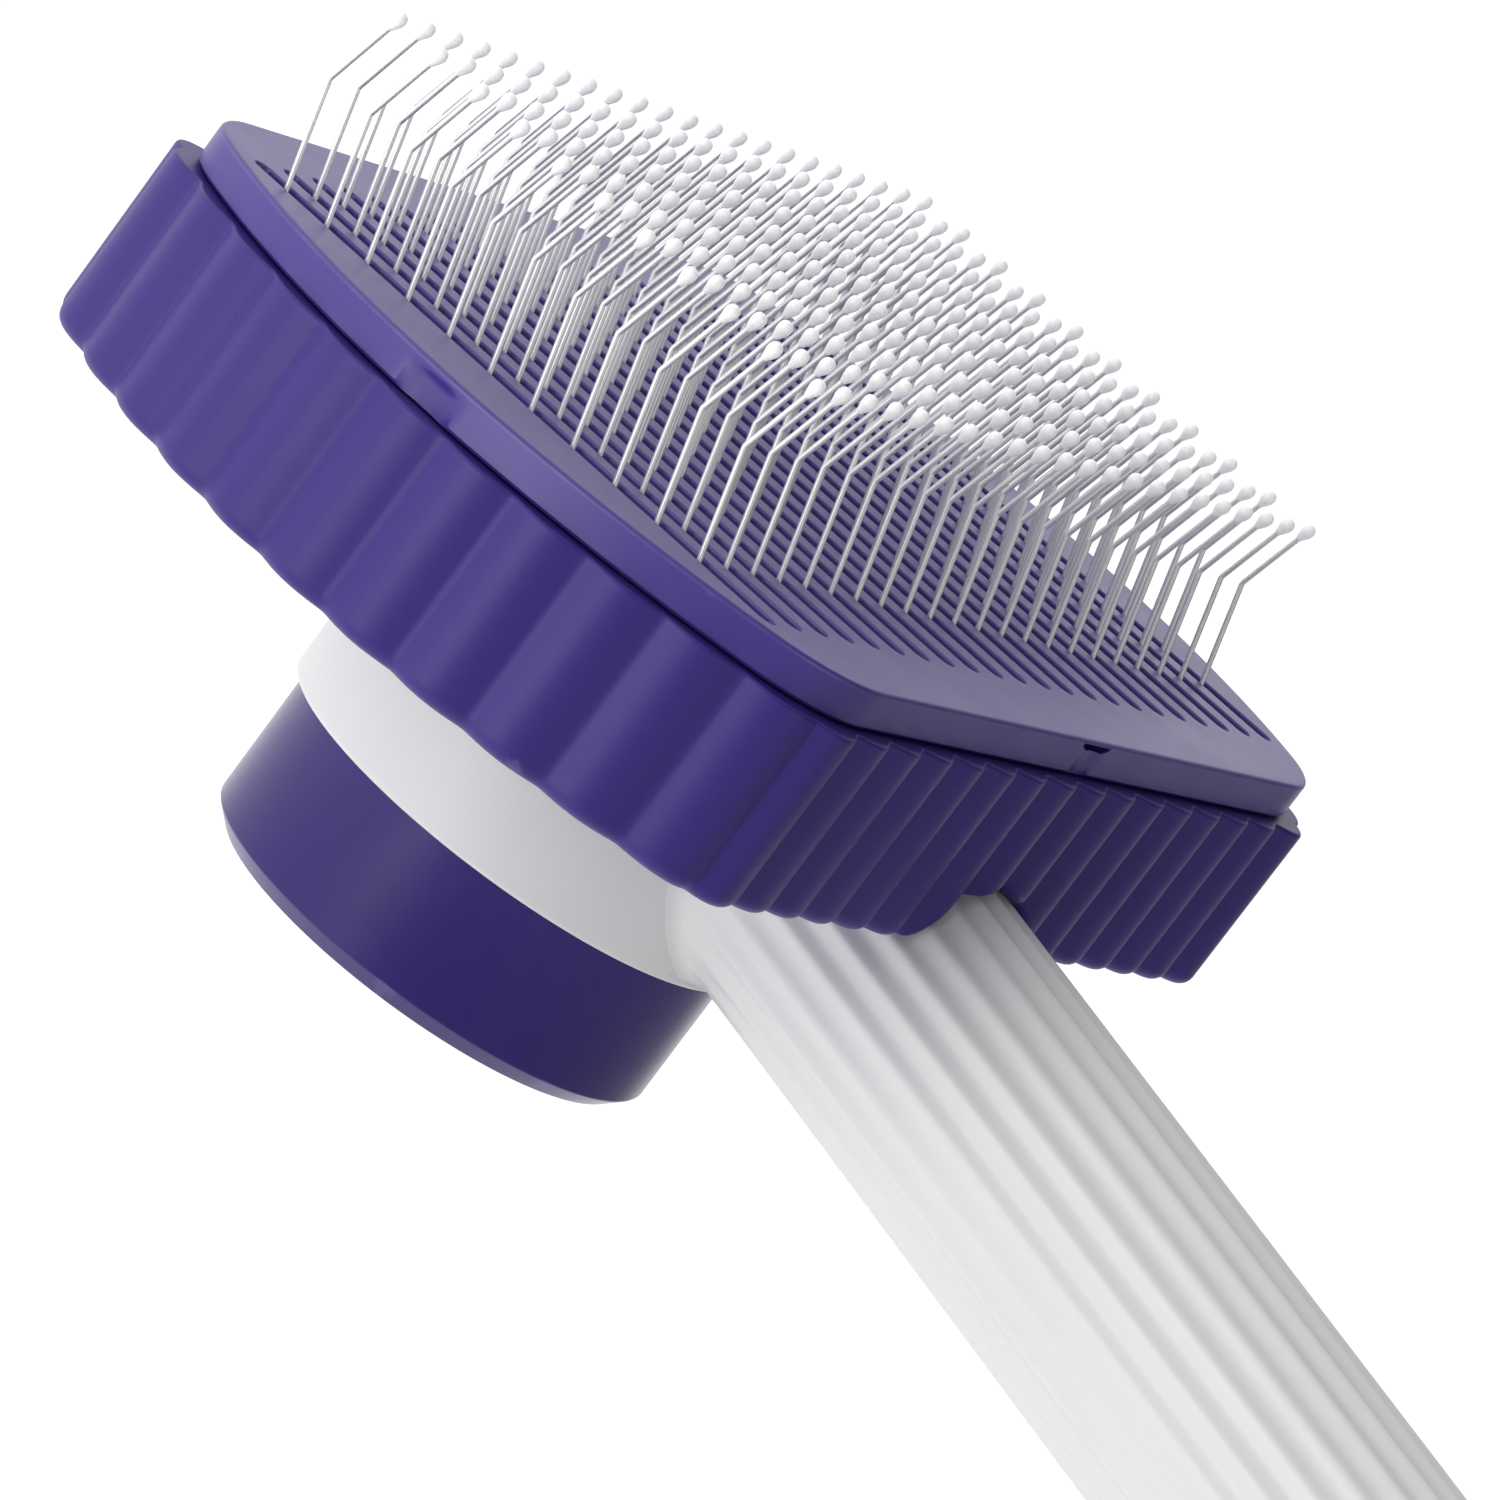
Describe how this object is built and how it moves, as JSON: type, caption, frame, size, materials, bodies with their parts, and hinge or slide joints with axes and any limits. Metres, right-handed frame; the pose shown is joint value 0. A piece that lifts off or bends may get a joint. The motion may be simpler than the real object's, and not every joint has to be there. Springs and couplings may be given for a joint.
{
  "type": "slicker brush",
  "caption": "Self-cleaning pet slicker brush: wide fluted head with bent wire pins, a slotted plate lifted by a round push button, and a fluted handle.",
  "frame": {"origin": "middle of the round button's flat face, on the button's axis", "axes": "+Z from the button face towards the pins, square to the head; the handle leaves towards -Y, tilted 10.2 degrees towards -Z; +X along the head's long side"},
  "size_m": [0.1152, 0.1867, 0.072],
  "materials": {
    "violet_plastic": "satin moulded violet plastic",
    "inner_plastic": "matte moulded violet plastic",
    "white_plastic": "satin moulded white plastic",
    "pin_wire": "bright drawn stainless wire",
    "tip_plastic": "glossy white drops",
    "screw_steel": "zinc-plated steel",
    "spring_steel": "spring steel wire"
  },
  "bodies": {
    "brush_body": {"head_shell": "violet_plastic", "bristle_bed": "inner_plastic", "backing_plate": "inner_plastic", "bristle_wires_1": "pin_wire", "bristle_wires_2": "pin_wire", "bristle_wires_3": "pin_wire", "bristle_wires_4": "pin_wire", "bristle_tips_1": "tip_plastic", "bristle_tips_2": "tip_plastic", "bristle_tips_3": "tip_plastic", "bristle_tips_4": "tip_plastic", "bed_screws": "screw_steel", "handle_body": "white_plastic", "neck_screws": "screw_steel", "end_cap": "white_plastic", "return_spring": "spring_steel"},
    "ejector": {"cleaning_plate": "violet_plastic", "ejector_frame": "inner_plastic", "guide_pins": "screw_steel", "push_rods": "screw_steel", "plunger_disc": "inner_plastic", "button_cap": "violet_plastic", "button_screws": "screw_steel"}
  },
  "joints": [
    {"name": "button_press", "type": "slide", "parent": "brush_body", "child": "ejector", "axis": [0, 0, 1], "range_m": [0, 0.012], "stiffness_N_per_m": 800, "springref_m": -0.008, "deforming": ["return_spring"]}
  ]
}
